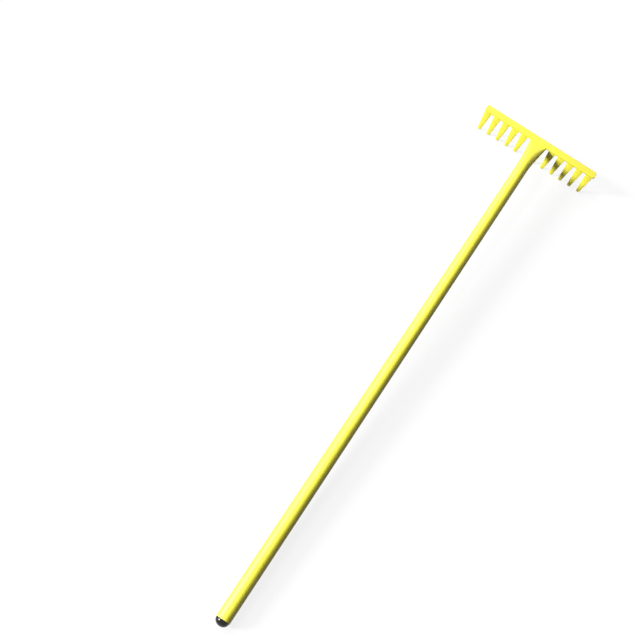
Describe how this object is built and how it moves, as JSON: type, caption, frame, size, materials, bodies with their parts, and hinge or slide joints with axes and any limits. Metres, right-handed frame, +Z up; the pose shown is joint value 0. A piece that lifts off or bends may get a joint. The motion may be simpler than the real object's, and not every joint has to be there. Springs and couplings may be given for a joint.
{
  "type": "rake",
  "caption": "All-steel rake for loose stone: tapered flat teeth welded under a flat bar, and a straight tube handle with a flattened head end and a plastic end plug.",
  "frame": {"origin": "on the floor, in the middle of the rake's outline seen from above, with the rake lying on its tooth tips and on the far end of its handle", "axes": "+Y along the handle from the plug to the head, +X along the bar, +Z up"},
  "size_m": [0.3994, 1.7201, 0.1042],
  "materials": {
    "yellow_paint": "smooth gloss coat, lemon yellow",
    "black_plastic": "glossy moulded, black"
  },
  "bodies": {
    "root": {"head_bar": "yellow_paint", "tooth_01": "yellow_paint", "tooth_02": "yellow_paint", "tooth_03": "yellow_paint", "tooth_04": "yellow_paint", "tooth_05": "yellow_paint", "tooth_06": "yellow_paint", "tooth_07": "yellow_paint", "tooth_08": "yellow_paint", "tooth_09": "yellow_paint", "tooth_10": "yellow_paint", "tooth_11": "yellow_paint", "tooth_12": "yellow_paint", "tooth_weld_01": "yellow_paint", "tooth_weld_02": "yellow_paint", "tooth_weld_03": "yellow_paint", "tooth_weld_04": "yellow_paint", "tooth_weld_05": "yellow_paint", "tooth_weld_06": "yellow_paint", "tooth_weld_07": "yellow_paint", "tooth_weld_08": "yellow_paint", "tooth_weld_09": "yellow_paint", "tooth_weld_10": "yellow_paint", "tooth_weld_11": "yellow_paint", "tooth_weld_12": "yellow_paint", "handle_tube": "yellow_paint", "handle_weld_top": "yellow_paint", "handle_weld_under": "yellow_paint", "end_plug": "black_plastic"}
  },
  "joints": []
}
